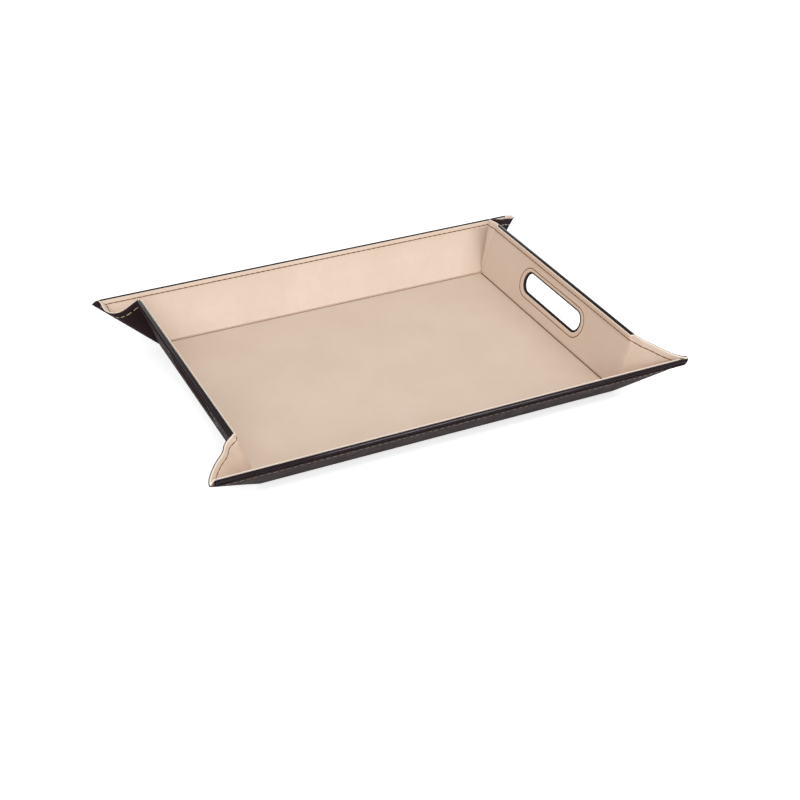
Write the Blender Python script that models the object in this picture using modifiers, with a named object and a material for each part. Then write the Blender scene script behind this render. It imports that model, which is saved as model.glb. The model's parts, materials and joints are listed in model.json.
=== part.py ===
"""Reversible serving tray in two-tone leather, folded up with its cream face inside.

The tray is one flat sandwich of leather, board and leather. Four fold lines frame the
base, and at each corner a soft gusset folds away between a long and a short side, so the
four sides rise together. Folded the other way the tray shows its chocolate face inside.

Every panel is drawn flat in its own frame: x along the fold line, y outwards from it and
z towards the cream face, with z = 0 in the middle of the sandwich, where the folds turn.
All lengths are in metres.
"""

import math

import bmesh
import bpy
from mathutils import Matrix, Vector

# Overall sizes, measured over the tray when it lies flat
TRAY_LENGTH = 0.550
TRAY_WIDTH = 0.440
SIDE_WIDTH = 0.067

# How far the long sides stand up; the short sides and the gussets follow from it
LONG_SIDE_ANGLE = math.radians(45.0)

# Sheet materials
LEATHER_THICKNESS = 0.0009
BASE_BOARD_THICKNESS = 0.0024
SIDE_BOARD_THICKNESS = 0.0024
FIT_GAP = 0.0003

# Fold lines: a bead of folded leather, a flat valley beside it, a slope up to the board
FOLD_BEAD_RADIUS = 0.0011
VALLEY_FLOOR = 0.0010
VALLEY_SLOPE = 0.0015
CORNER_TRIM = 0.0035
BEAD_TIP_TRIM = 0.0020

# Piped rim of each side: a core, a leather strip round it and the seam that holds it
PIPING_CORE_RADIUS = 0.0012
PIPING_LEATHER = 0.0005
RIM_SEAM = 0.0015
RIM_LIP_RISE = 0.0025
RIM_LIP_SETBACK = 0.0026
CORE_SETBACK = 0.0010
LONG_RIM_BARE_END = 0.0135
SHORT_RIM_BARE_END = 0.0040
TIP_SLIT = 0.0012

# Crease between gusset and short side: the linked panels drift here between the limits
OPEN_CREASE_GAP = 0.0009
GUSSET_TRIM = 0.0060

# Hand slots in the short sides
SLOT_LENGTH = 0.128
SLOT_WIDTH = 0.027
SLOT_TO_RIM = 0.0333

# Rounded corners of the boards
BOARD_CORNER_RADIUS = 0.0030

# Counts, shares and tolerances
BEAD_SEGMENTS = 12
ROLL_SEGMENTS = 20
ARC_SEGMENTS = 12
CORNER_SEGMENTS = 4
DRIFT_STEPS = 40
TAIL_END_SHARE = 0.5
SHARP_EDGE_ANGLE = math.radians(40)
MERGE_DISTANCE = 0.000001

# Colours as linear red, green, blue
CREAM = (0.66, 0.52, 0.40)
CHOCOLATE = (0.022, 0.012, 0.011)
GREYBOARD = (0.30, 0.27, 0.23)
CORE_PLASTIC = (0.55, 0.55, 0.52)

# Sizes worked out from the ones above
BASE_LENGTH = TRAY_LENGTH - 2 * SIDE_WIDTH
BASE_WIDTH = TRAY_WIDTH - 2 * SIDE_WIDTH
PAIR_HALF = FIT_GAP / 2
PINCHED_HALF = PAIR_HALF + LEATHER_THICKNESS
FOLD_HEIGHT = BASE_BOARD_THICKNESS / 2 + FIT_GAP + LEATHER_THICKNESS
SHEET_EDGE = FOLD_BEAD_RADIUS + FIT_GAP
VALLEY_EDGE = SHEET_EDGE + VALLEY_FLOOR
CREST_EDGE = VALLEY_EDGE + VALLEY_SLOPE
BOARD_EDGE = CREST_EDGE + FIT_GAP
PIPING_RADIUS = PIPING_CORE_RADIUS + FIT_GAP + PIPING_LEATHER
PIPING_CENTRE = SIDE_WIDTH - PIPING_RADIUS
SEAM_HALF = PIPING_LEATHER + FIT_GAP
LIP_HALF = PIPING_RADIUS + FIT_GAP
LIP_CREST = PIPING_CENTRE - PIPING_RADIUS - FIT_GAP
LIP_START = LIP_CREST - RIM_LIP_RISE
LIP_EDGE = SIDE_WIDTH - RIM_LIP_SETBACK
SEAM_EDGE = LIP_START - RIM_SEAM
RIM_CREST = SEAM_EDGE - VALLEY_SLOPE
RIM_BOARD_EDGE = RIM_CREST - FIT_GAP
SIDE_CREST_HALF = SIDE_BOARD_THICKNESS / 2 + FIT_GAP
BASE_CREST_HALF = BASE_BOARD_THICKNESS / 2 + FIT_GAP
TIP_DIAGONAL = SIDE_WIDTH * math.sqrt(2)


def short_side_angle(long_angle):
    """Fold of the short sides when the long sides stand at long_angle."""
    return 2 * math.atan(math.sin(long_angle))


def corner_points(long_angle, short_angle):
    """Gusset corners from the corner point of the base: its rim corner and the tip."""
    rim_corner = SIDE_WIDTH * Vector((math.cos(short_angle), 0, math.sin(short_angle)))
    tip = SIDE_WIDTH * Vector((1, math.cos(long_angle), math.sin(long_angle)))
    return rim_corner, tip


def gusset_angle(long_angle):
    """Fold between a long side and its gusset when the long side stands at long_angle."""
    rim_corner, tip = corner_points(long_angle, short_side_angle(long_angle))
    gusset_normal = rim_corner.cross(tip)
    side_normal = Vector((0, -math.sin(long_angle), math.cos(long_angle)))
    return side_normal.angle(gusset_normal)


SHORT_SIDE_ANGLE = short_side_angle(LONG_SIDE_ANGLE)
GUSSET_ANGLE = gusset_angle(LONG_SIDE_ANGLE)


def open_crease_drift():
    """Most that a gusset's rim corner comes towards the short side between the limits.

    The three folds turn at fixed ratios, and the paper-fold rule bends a little between
    flat and folded, so the gusset's edge needs this much room beside the short side.
    """
    drift = 0
    for step in range(DRIFT_STEPS + 1):
        share = step / DRIFT_STEPS
        tip = corner_points(share * LONG_SIDE_ANGLE, 0)[1]
        turn = Matrix.Rotation(-share * GUSSET_ANGLE, 3, tip)
        rim_corner = turn @ Vector((SIDE_WIDTH, 0, 0))
        drift = max(drift, -rim_corner.y)
    return drift


def gusset_setback():
    """Distance from the tip fold at which a gusset clears the leather of the long side."""
    lift = PINCHED_HALF + FIT_GAP - PINCHED_HALF * math.cos(GUSSET_ANGLE)
    return max(SHEET_EDGE, lift / math.sin(GUSSET_ANGLE))


def clear_scene():
    """Empty the scene and give the tray its two collections."""
    for item in list(bpy.data.objects):
        bpy.data.objects.remove(item)
    for name in ("serving_tray", "construction"):
        group = bpy.data.collections.new(name)
        bpy.context.scene.collection.children.link(group)
    return bpy.data.collections["serving_tray"], bpy.data.collections["construction"]


TRAY, CONSTRUCTION = clear_scene()


def plain_material(name, colour, roughness):
    """A Principled material with one colour and one roughness."""
    finish = bpy.data.materials.new(name)
    finish.use_nodes = True
    shader = finish.node_tree.nodes["Principled BSDF"]
    shader.inputs["Base Color"].default_value = (*colour, 1)
    shader.inputs["Roughness"].default_value = roughness
    shader.inputs["Metallic"].default_value = 0
    return finish


CREAM_LEATHER = plain_material("cream_leather", CREAM, 0.55)
CHOCOLATE_LEATHER = plain_material("chocolate_leather", CHOCOLATE, 0.42)
BOARD = plain_material("greyboard", GREYBOARD, 0.9)
CORE = plain_material("piping_core", CORE_PLASTIC, 0.5)


def fold_frame(name, matrix, parent=None):
    """An empty on a fold line, which carries the pieces of one panel."""
    empty = bpy.data.objects.new(name, None)
    empty.empty_display_size = SIDE_WIDTH
    TRAY.objects.link(empty)
    empty.parent = parent
    empty.matrix_local = matrix
    return empty


def add_piece(name, mesh, parent, finish):
    """Put a mesh on a panel as a named piece of the tray."""
    piece = bpy.data.objects.new(name, mesh)
    mesh.materials.clear()
    mesh.materials.append(finish)
    TRAY.objects.link(piece)
    piece.parent = parent
    return piece


def add_guide(name, mesh, parent):
    """Put a mesh on a panel as a construction body that joins or cuts a piece."""
    guide = bpy.data.objects.new(name, mesh)
    CONSTRUCTION.objects.link(guide)
    guide.parent = parent
    guide.hide_render = True
    guide.display_type = "WIRE"
    return guide


def combine(piece, guide, operation):
    """Join a construction body to a piece, or cut it away from the piece."""
    step = piece.modifiers.new(guide.name, "BOOLEAN")
    step.operation = operation
    step.solver = "EXACT"
    step.object = guide


def mesh_from(shape, name):
    """Turn a bmesh into a mesh."""
    mesh = bpy.data.meshes.new(name)
    shape.to_mesh(mesh)
    shape.free()
    return mesh


def slab(name, outlines, low, high):
    """A flat plate from low to high; the first outline is its edge, the others holes."""
    curve = bpy.data.curves.new(name, "CURVE")
    curve.dimensions = "2D"
    curve.fill_mode = "BOTH"
    curve.extrude = (high - low) / 2
    for outline in outlines:
        spline = curve.splines.new("POLY")
        spline.points.add(len(outline) - 1)
        for point, (x, y) in zip(spline.points, outline):
            point.co = (x, y, 0, 1)
        spline.use_cyclic_u = True
    holder = bpy.data.objects.new(name, curve)
    CONSTRUCTION.objects.link(holder)
    bpy.context.view_layer.update()
    mesh = bpy.data.meshes.new_from_object(holder.evaluated_get(
        bpy.context.evaluated_depsgraph_get()))
    bpy.data.objects.remove(holder)
    bpy.data.curves.remove(curve)
    shape = bmesh.new()
    shape.from_mesh(mesh)
    bpy.data.meshes.remove(mesh)
    bmesh.ops.remove_doubles(shape, verts=shape.verts, dist=MERGE_DISTANCE)
    bmesh.ops.translate(shape, verts=shape.verts, vec=(0, 0, (low + high) / 2))
    bmesh.ops.recalc_face_normals(shape, faces=shape.faces)
    return mesh_from(shape, name)


def rod(name, start, end, radius, segments):
    """A round bar between two points."""
    axis = Vector(end) - Vector(start)
    shape = bmesh.new()
    bmesh.ops.create_cone(shape, cap_ends=True, segments=segments, radius1=radius,
                          radius2=radius, depth=axis.length)
    turn = Vector((0, 0, 1)).rotation_difference(axis).to_matrix().to_4x4()
    middle = (Vector(start) + Vector(end)) / 2
    bmesh.ops.transform(shape, matrix=Matrix.Translation(middle) @ turn, verts=shape.verts)
    mesh = mesh_from(shape, name)
    mesh.shade_smooth()
    mesh.set_sharp_from_angle(angle=SHARP_EDGE_ANGLE)
    return mesh


def arc(centre, radius, start, end, segments):
    """Points on an arc, both ends included; the angles are in degrees."""
    points = []
    for step in range(segments + 1):
        angle = math.radians(start + (end - start) * step / segments)
        points.append((centre[0] + radius * math.cos(angle),
                       centre[1] + radius * math.sin(angle)))
    return points


def rounded(outline, radius):
    """An anticlockwise convex outline with its corners rounded."""
    points = []
    count = len(outline)
    for index, corner in enumerate(outline):
        here = Vector(corner)
        back = (Vector(outline[index - 1]) - here).normalized()
        ahead = (Vector(outline[(index + 1) % count]) - here).normalized()
        half = back.angle(ahead) / 2
        centre = here + (back + ahead).normalized() * radius / math.sin(half)
        first = math.degrees(math.atan2(*reversed(here + back * radius / math.tan(half) - centre)))
        sweep = 180 - 2 * math.degrees(half)
        points += arc(centre, radius, first, first + sweep, CORNER_SEGMENTS)
    return points


def slot_outline(growth=0):
    """The hand slot, or a line round it at a distance."""
    radius = SLOT_WIDTH / 2 + growth
    reach = (SLOT_LENGTH - SLOT_WIDTH) / 2
    middle = SIDE_WIDTH - SLOT_TO_RIM
    return (arc((reach, middle), radius, -90, 90, ARC_SEGMENTS)
            + arc((-reach, middle), radius, 90, 270, ARC_SEGMENTS))


class Panel:
    """One side of the tray, drawn flat in its own frame."""

    def __init__(self, label, fold_length, slope, bare_end):
        self.label = label
        self.half_fold = fold_length / 2
        self.slope = slope
        self.rim_half = self.half_fold + slope * SIDE_WIDTH - bare_end

    def end(self, gap, y):
        """Half length of the panel at y, gap inside its end line."""
        return self.half_fold + self.slope * y - gap * math.hypot(1, self.slope)

    def loop(self, fold_gap, end_gap, rim):
        """Eight points: fold side, trimmed corner, end, rim and back, anticlockwise."""
        trim = fold_gap + CORNER_TRIM
        rim_end = self.end(end_gap, rim)
        lip_end = min(self.rim_half, rim_end - VALLEY_SLOPE)
        right = [(self.end(end_gap, fold_gap) - CORNER_TRIM, fold_gap),
                 (self.end(end_gap, trim), trim), (rim_end, rim), (lip_end, rim)]
        left = [(-x, y) for x, y in reversed(right)]
        return [left[-1]] + right + left[:-1]


def ring(shape, points, heights, face):
    """Vertices along a loop; face is 1 for the cream side and -1 for the chocolate one."""
    return [shape.verts.new((x, y, face * z)) for (x, y), z in zip(points, heights)]


def loft(shape, rings):
    """A surface from an outer ring in to the middle."""
    for outer, inner in zip(rings, rings[1:]):
        for index in range(len(outer)):
            after = (index + 1) % len(outer)
            shape.faces.new((outer[index], outer[after], inner[after], inner[index]))
    shape.faces.new(rings[-1])


def leather(name, shape, face, parent):
    """Give an open leather surface its thickness, away from the board."""
    if face < 0:
        bmesh.ops.reverse_faces(shape, faces=shape.faces)
    finish = CREAM_LEATHER if face > 0 else CHOCOLATE_LEATHER
    piece = add_piece(name, mesh_from(shape, name), parent, finish)
    thicken = piece.modifiers.new("thickness", "SOLIDIFY")
    thicken.thickness = LEATHER_THICKNESS
    thicken.offset = 1
    thicken.use_even_offset = True
    return piece


def rim_flaps(shape, panel, seam, end_gap, face):
    """Carry the leather on from the rim seam: over the piping, and flat at both ends."""
    right_end, right_lip, left_lip, left_end = seam
    lips = []
    for y, z in ((LIP_CREST, LIP_HALF), (LIP_EDGE, LIP_HALF)):
        lips.append([shape.verts.new((x, y, face * z)) for x in (right_lip.co.x, left_lip.co.x)])
    shape.faces.new((left_lip, right_lip, lips[0][0], lips[0][1]))
    shape.faces.new((lips[0][1], lips[0][0], lips[1][0], lips[1][1]))
    tip = panel.end(end_gap, SIDE_WIDTH)
    inner = panel.rim_half + TIP_SLIT
    right = [shape.verts.new((x, SIDE_WIDTH, face * PAIR_HALF)) for x in (tip, inner)]
    left = [shape.verts.new((-x, SIDE_WIDTH, face * PAIR_HALF)) for x in (tip, inner)]
    shape.faces.new((right_lip, right_end, right[0], right[1]))
    shape.faces.new((left_end, left_lip, left[1], left[0]))


def side_leather(panel, face, parent, end_gap):
    """One leather face of a side, pinched at the folds and at the rim seam."""
    name = panel.label + ("_side_cream_leather" if face > 0 else "_side_chocolate_leather")
    fold = PAIR_HALF
    shape = bmesh.new()
    outer = ring(shape, panel.loop(SHEET_EDGE, end_gap, LIP_START),
                 (fold, fold, fold, fold, SEAM_HALF, SEAM_HALF, fold, fold), face)
    valley = ring(shape, panel.loop(VALLEY_EDGE, VALLEY_EDGE, SEAM_EDGE),
                  (fold, fold, fold, fold, SEAM_HALF, SEAM_HALF, fold, fold), face)
    crest_points = panel.loop(CREST_EDGE, CREST_EDGE, RIM_CREST)
    crest = ring(shape, crest_points, [SIDE_CREST_HALF] * len(crest_points), face)
    loft(shape, (outer, valley, crest))
    rim_flaps(shape, panel, outer[3:7], end_gap, face)
    return leather(name, shape, face, parent)


def tip_beads(panel, piece, parent):
    """Beads of folded leather along the two slanted folds of a long side."""
    for turn in (1, -1):
        points = []
        for y in (CORNER_TRIM, SIDE_WIDTH - BEAD_TIP_TRIM):
            points.append((turn * panel.end(0, y), y, 0))
        mesh = rod(piece.name + "_bead", points[0], points[1], FOLD_BEAD_RADIUS, BEAD_SEGMENTS)
        combine(piece, add_guide(mesh.name, mesh, parent), "UNION")


def side_board(panel, parent, holes):
    """The stiff board inside a side."""
    name = panel.label + "_side_board"
    edge = panel.loop(BOARD_EDGE, BOARD_EDGE, RIM_BOARD_EDGE)
    outline = rounded(edge[:4] + edge[6:], BOARD_CORNER_RADIUS)
    half = SIDE_BOARD_THICKNESS / 2
    add_piece(name, slab(name, [outline] + holes, -half, half), parent, BOARD)


def piping(panel, parent):
    """The piped rim: a plastic core and the leather strip folded round it."""
    opening = math.degrees(math.asin(PIPING_LEATHER / PIPING_RADIUS))
    tail_end = SEAM_EDGE - TAIL_END_SHARE * VALLEY_SLOPE
    outline = arc((PIPING_CENTRE, 0), PIPING_RADIUS, opening - 180, 180 - opening, ROLL_SEGMENTS)
    outline += [(tail_end, PIPING_LEATHER), (tail_end, -PIPING_LEATHER)]
    bore = arc((PIPING_CENTRE, 0), PIPING_CORE_RADIUS + FIT_GAP, 0, 360, ROLL_SEGMENTS)[:-1]
    name = panel.label + "_rim_piping"
    mesh = slab(name, [outline, bore], -panel.rim_half, panel.rim_half)
    across = Matrix(((0, 0, 1, 0), (1, 0, 0, 0), (0, 1, 0, 0), (0, 0, 0, 1)))
    mesh.transform(across)
    mesh.shade_smooth()
    mesh.set_sharp_from_angle(angle=SHARP_EDGE_ANGLE)
    add_piece(name, mesh, parent, CHOCOLATE_LEATHER)
    name = panel.label + "_rim_core"
    reach = panel.rim_half - CORE_SETBACK
    mesh = rod(name, (-reach, PIPING_CENTRE, 0), (reach, PIPING_CENTRE, 0),
               PIPING_CORE_RADIUS, ROLL_SEGMENTS)
    add_piece(name, mesh, parent, CORE)


def hand_slot(panel, cream, chocolate, parent):
    """Cut the slot through both leathers; the chocolate one is turned in and lines it."""
    reach = SIDE_CREST_HALF + LEATHER_THICKNESS + FIT_GAP
    hole = add_guide(panel.label + "_slot", slab(
        panel.label + "_slot", [slot_outline()], -reach, reach), parent)
    low = -SIDE_CREST_HALF - LEATHER_THICKNESS / 2
    high = SIDE_CREST_HALF - FIT_GAP
    lining = add_guide(panel.label + "_lining", slab(
        panel.label + "_lining", [slot_outline(LEATHER_THICKNESS)], low, high), parent)
    combine(chocolate, lining, "UNION")
    combine(chocolate, hole, "DIFFERENCE")
    combine(cream, hole, "DIFFERENCE")


def long_side(label, parent):
    """A long side: a trapezium whose slanted ends are the folds of two gussets."""
    panel = Panel(label, BASE_LENGTH, 1, LONG_RIM_BARE_END)
    side_leather(panel, 1, parent, SHEET_EDGE)
    chocolate = side_leather(panel, -1, parent, 0)
    tip_beads(panel, chocolate, parent)
    side_board(panel, parent, [])
    piping(panel, parent)


def short_side(label, parent):
    """A short side: a rectangle with a hand slot."""
    panel = Panel(label, BASE_WIDTH, 0, SHORT_RIM_BARE_END)
    cream = side_leather(panel, 1, parent, OPEN_CREASE_GAP)
    chocolate = side_leather(panel, -1, parent, OPEN_CREASE_GAP)
    hand_slot(panel, cream, chocolate, parent)
    side_board(panel, parent, [slot_outline(LEATHER_THICKNESS + FIT_GAP)])
    piping(panel, parent)


def gusset(label, parent, turn):
    """The two leather faces of a corner gusset; turn is 1 at the panel's positive end.

    Its outline is drawn from the base's corner, first along the tip fold and then
    square to it, and the crease beside the short side runs at 45 degrees.
    """
    along = Vector((1, 1)).normalized()
    inward = Vector((1, -1)).normalized()
    setback = gusset_setback()
    near = along * GUSSET_TRIM + inward * OPEN_CREASE_GAP
    far = along * SIDE_WIDTH + inward * (OPEN_CREASE_GAP + open_crease_drift())
    outline = [(GUSSET_TRIM, setback), (TIP_DIAGONAL - setback, setback), far, near]
    outline = [(-turn * x, y) for x, y in outline]
    for face, finish, kind in ((1, CREAM_LEATHER, "cream"), (-1, CHOCOLATE_LEATHER, "chocolate")):
        name = label + "_gusset_" + kind + "_leather"
        low, high = sorted((face * PAIR_HALF, face * PINCHED_HALF))
        add_piece(name, slab(name, [outline], low, high), parent, finish)


def base_loop(gap):
    """The base's outline at a distance inside its fold lines, with trimmed corners."""
    x = BASE_LENGTH / 2 - gap
    y = BASE_WIDTH / 2 - gap
    points = []
    for across, up in ((-x, -y), (x, -y), (x, y), (-x, y)):
        ends = [(across, up - math.copysign(CORNER_TRIM, up)),
                (across - math.copysign(CORNER_TRIM, across), up)]
        points += ends if across * up > 0 else ends[::-1]
    return points


def base_leather(face, parent, edge):
    """One leather face of the base, pinched along the four fold lines."""
    shape = bmesh.new()
    heights = (PAIR_HALF, PAIR_HALF, BASE_CREST_HALF)
    rings = []
    for gap, height in zip((edge, VALLEY_EDGE, CREST_EDGE), heights):
        points = base_loop(gap)
        rings.append(ring(shape, points, [height] * len(points), face))
    loft(shape, rings)
    name = "base_cream_leather" if face > 0 else "base_chocolate_leather"
    return leather(name, shape, face, parent)


def base(parent):
    """The base: two leathers over a board, with the beads of its four folds."""
    base_leather(1, parent, SHEET_EDGE)
    chocolate = base_leather(-1, parent, 0)
    x = BASE_LENGTH / 2
    y = BASE_WIDTH / 2
    for turn in (1, -1):
        for label, start, end in (
                ("long_fold_bead", (CORNER_TRIM - x, turn * y, 0), (x - CORNER_TRIM, turn * y, 0)),
                ("short_fold_bead", (turn * x, CORNER_TRIM - y, 0), (turn * x, y - CORNER_TRIM, 0))):
            mesh = rod(label, start, end, FOLD_BEAD_RADIUS, BEAD_SEGMENTS)
            combine(chocolate, add_guide(mesh.name, mesh, parent), "UNION")
    outline = rounded(base_loop(BOARD_EDGE), BOARD_CORNER_RADIUS)
    half = BASE_BOARD_THICKNESS / 2
    add_piece("base_board", slab("base_board", [outline], -half, half), parent, BOARD)


def side_matrix(quarter_turns, fold_distance, angle):
    """Frame of a side on its fold line, seen from the middle of the base."""
    return (Matrix.Rotation(quarter_turns * math.pi / 2, 4, "Z")
            @ Matrix.Translation((0, fold_distance, 0))
            @ Matrix.Rotation(angle, 4, "X"))


def gusset_matrix(turn):
    """Frame of a gusset on the slanted fold, seen from its long side."""
    return (Matrix.Translation((turn * BASE_LENGTH / 2, 0, 0))
            @ Matrix.Rotation(math.radians(-135 * turn), 4, "Z")
            @ Matrix.Rotation(GUSSET_ANGLE, 4, "X"))


def build_tray():
    """Build every panel on its fold line."""
    middle = fold_frame("base_frame", Matrix.Translation((0, 0, FOLD_HEIGHT)))
    base(middle)
    for label, turns, ends in (("back", 0, ("right", "left")), ("front", 2, ("left", "right"))):
        frame = fold_frame(label + "_side_fold",
                           side_matrix(turns, BASE_WIDTH / 2, LONG_SIDE_ANGLE), middle)
        long_side(label, frame)
        for turn, end in zip((1, -1), ends):
            corner = label + "_" + end
            gusset(corner, fold_frame(corner + "_gusset_fold", gusset_matrix(turn), frame), turn)
    for label, turns in (("left", 1), ("right", 3)):
        frame = fold_frame(label + "_side_fold",
                           side_matrix(turns, BASE_LENGTH / 2, SHORT_SIDE_ANGLE), middle)
        short_side(label, frame)


build_tray()
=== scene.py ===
"""Leather, piped rims and stitching of a reversible serving tray.

The leather is modelled flat, as it is cut, with its thickness and its pressed relief. Each
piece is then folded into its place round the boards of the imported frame. In the flat, x
runs along a fold, y outwards from it and z away from the middle of the sandwich.
"""

import json
import math
import random

import bmesh
import bpy
from mathutils import Matrix, Vector


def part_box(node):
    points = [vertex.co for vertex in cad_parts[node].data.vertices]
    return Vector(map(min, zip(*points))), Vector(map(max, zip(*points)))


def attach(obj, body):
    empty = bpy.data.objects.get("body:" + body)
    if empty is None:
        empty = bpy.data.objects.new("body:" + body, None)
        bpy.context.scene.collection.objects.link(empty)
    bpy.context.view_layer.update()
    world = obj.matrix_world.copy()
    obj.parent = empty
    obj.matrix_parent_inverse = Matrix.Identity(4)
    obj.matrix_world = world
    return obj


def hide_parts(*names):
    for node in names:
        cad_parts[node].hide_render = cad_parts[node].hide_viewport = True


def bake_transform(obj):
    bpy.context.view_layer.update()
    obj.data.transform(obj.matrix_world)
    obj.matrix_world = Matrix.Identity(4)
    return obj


bl_info = {
    "name": "Reversible serving tray",
    "version": (1, 0, 0),
    "blender": (4, 5, 0),
    "location": "View3D > Sidebar > Tray",
    "description": "Builds the leather, rims and stitching of a folding two-tone tray",
    "category": "Object",
}

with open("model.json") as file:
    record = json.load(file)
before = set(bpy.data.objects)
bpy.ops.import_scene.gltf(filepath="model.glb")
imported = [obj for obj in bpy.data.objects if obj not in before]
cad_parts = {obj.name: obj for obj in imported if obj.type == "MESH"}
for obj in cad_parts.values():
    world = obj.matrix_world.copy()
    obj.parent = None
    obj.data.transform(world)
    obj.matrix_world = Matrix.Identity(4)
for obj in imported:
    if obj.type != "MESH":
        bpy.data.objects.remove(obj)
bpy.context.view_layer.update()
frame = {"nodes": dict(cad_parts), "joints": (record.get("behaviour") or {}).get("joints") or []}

# Places and angles that the frame gives
JOINTS = {joint["name"]: joint for joint in frame["joints"]}
HALF_LENGTH = JOINTS["right_side_fold"]["pos_m"][0]
HALF_WIDTH = JOINTS["back_side_fold"]["pos_m"][1]
FOLD_HEIGHT = JOINTS["back_side_fold"]["pos_m"][2]
LONG_ANGLE = math.radians(-JOINTS["back_side_fold"]["range_deg"][0]) / 2
SHORT_ANGLE = 2 * math.atan(math.sin(LONG_ANGLE))
CORE_LOW, CORE_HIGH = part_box("right_rim_core")
ROLL_CENTRE = math.hypot((CORE_LOW.x + CORE_HIGH.x) / 2 - HALF_LENGTH,
                         (CORE_LOW.z + CORE_HIGH.z) / 2 - FOLD_HEIGHT)
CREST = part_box("base_cream_leather")[1].z - FOLD_HEIGHT

# The rolls end a little past the piping of the frame
LONG_ROLL_PAST = 0.0030
SHORT_ROLL_PAST = 0.0018
LONG_ROLL_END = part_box("back_rim_piping")[1].x + LONG_ROLL_PAST
SHORT_ROLL_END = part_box("right_rim_piping")[1].y + SHORT_ROLL_PAST

# Leather and its relief, as heights above the middle of the sandwich
LEATHER = 0.0009
PINCHED = 0.00105
CREASE_HALF = 0.0022
SEAM_FLOOR = 0.0032
LIP_TOP = 0.0041
HEM = 0.0014
STITCH_GROOVE = 0.00022
LIP_ROUND = 0.0004
SEAM_PULL = 0.00025

# Distances from a fold line, and the shares of them at which the leather is cut
BEND_HALF = 0.0015
TIP_BEND_HALF = 0.0025
STRIP_EDGE = 0.0050
VALLEYS = {"cream": (0.0011, 0.0027), "chocolate": (0.0024, 0.0039)}
END_VALLEY = (0.0, 0.0042)
CREASE_WIDTH = 0.0030
GUSSET_RISE = 0.0060
CREASE_START = 0.0060
BASE_SEAMS = {"cream": 0.0012, "chocolate": 0.0021}
BEND_SHARES = (0.0, 0.25, 0.5, 0.75, 1.0)
SLOPE_SHARES = (0.0, 0.3, 0.5, 0.75, 1.0)
END_SHARES = (0.0, 0.1, 0.2, 0.3, 0.4, 0.5, 0.6, 0.73, 0.87, 1.0)

# Distances across a side, from its fold to its rim
ROLL_RADIUS = 0.0021
SIDE_PAST_ROLL = 0.0020
SIDE_WIDTH = ROLL_CENTRE + SIDE_PAST_ROLL
RIM_CREST = 0.0572
SEAM_START = 0.0587
SEAM_LINE = 0.05945
SEAM_END = 0.0602
LIP_CREST = 0.0640
SHORT_LIP_EDGE = 0.0652
LONG_LIP_EDGE = 0.0645
RIM_ROWS = (RIM_CREST, 0.0577, 0.0582, SEAM_START, 0.0590, SEAM_LINE, 0.0599, SEAM_END,
            0.0609, 0.0617, 0.0625, 0.0633, LIP_CREST, 0.0650, 0.0660)
GROOVE_HALF = 0.0012
SEAM_HALF = 0.0006

# How far past a roll's end the two leathers close on each other
LONG_CLOSE = 0.0070
SHORT_CLOSE = HALF_WIDTH - SHORT_ROLL_END
CLOSE_STEPS = 6

# Corner gussets, and how far each one bulges off its hard folds at the angles of its fan
TIP_ANGLE = math.pi / 4
TIP_TURN = math.radians(4.2)
TURN_STEPS = 10
SLOPE_STEP = TIP_TURN / 100
FAN_STEP = math.radians(3.0)
FAN_KNOTS = [*(math.radians(angle) for angle in (0, 10, 20, 30, 40, 45)), TIP_ANGLE + TIP_TURN]
CORNER_BULGES = {
    "back_left": ((-0.22, -0.28, -0.20, 0.02), 0.0, 0.0),
    "front_left": ((-0.04, 0.0, -0.02, 0.0), 0.02, -0.01),
    "front_right": ((0.08, 0.09, 0.12, 0.08), 0.03, 0.04),
    "back_right": ((0.22, 0.06, 0.0, -0.06), 0.0, 0.06),
}
TIP_PANEL_SETBACK = 0.0090
TIP_RADIUS = 0.0105
TIP_SEAM_RADIUS = 0.0035
TIP_CUTS = [math.radians(angle) for angle in (15, 30, 45, 60, 75)]
TIP_DIRECTIONS = (0, *TIP_CUTS, math.pi / 2)
TIP_LEAN = math.tan(math.pi / 8)

# Hand slots: the hole, the stitched line round it and the rings of the lip between them.
# A ring has a share of the way from the hole to the line, and a height above the crest.
SLOT_LENGTH = 0.128
SLOT_WIDTH = 0.027
SLOT_MIDDLE = 0.0337
SLOT_SEAM_LENGTH = 0.140
SLOT_SEAM_WIDTH = 0.036
SLOT_SEAM_MIDDLE = 0.0330
SLOT_ARC_STEPS = 16
SLOT_WINDOW = ((-0.078, 0.0115), (0.078, 0.0550))
SLOT_SEAM_DIP = -0.00038
SLOT_RINGS = ((1.25, 0.0), (1.12, -0.00008), (1.0, SLOT_SEAM_DIP), (0.88, -0.00008),
              (0.75, 0.00010), (0.45, 0.00014), (0.22, 0.0), (0.10, -0.00020),
              (0.03, -0.00045), (0.0, -0.0008))
LINING_RINGS = ((-0.30, -0.0006), (-0.42, -0.0016), (-0.40, -0.0040))

# The round end of a short side, past the crease beside the gusset, cut off near its tip
NOSE_FIT = 0.98
NOSE_CUT = NOSE_FIT - 0.01
NOSE_SHARES = (0.4, 0.7, 0.9)

# Rim roll, with the steps and scales of the rings at its ends, the last one a dimple
ROLL_SIDES = 32
ROLL_FLATNESS = 4.0
ROLL_END_RINGS = ((0.0006, 0.90), (0.0004, 0.70), (-0.0006, 0.50))
TAIL_HALF = 0.0006
ROLL_TAIL = 0.0045

# How full a stitch is, how far it dives at its ends, sinks and strays from its line
THREAD_POWER = 0.45
STITCH_DIVE = 0.35
STITCH_SINK = 0.15
STITCH_TURN = 0.03
STITCH_LIFT = 0.00004
SEED = 11

# Counts and small tolerances
TINY = 0.00001
SHARP_ANGLE = math.radians(42)
EDGE_ROUND = 0.00025
EDGE_SEGMENTS = 3

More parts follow.
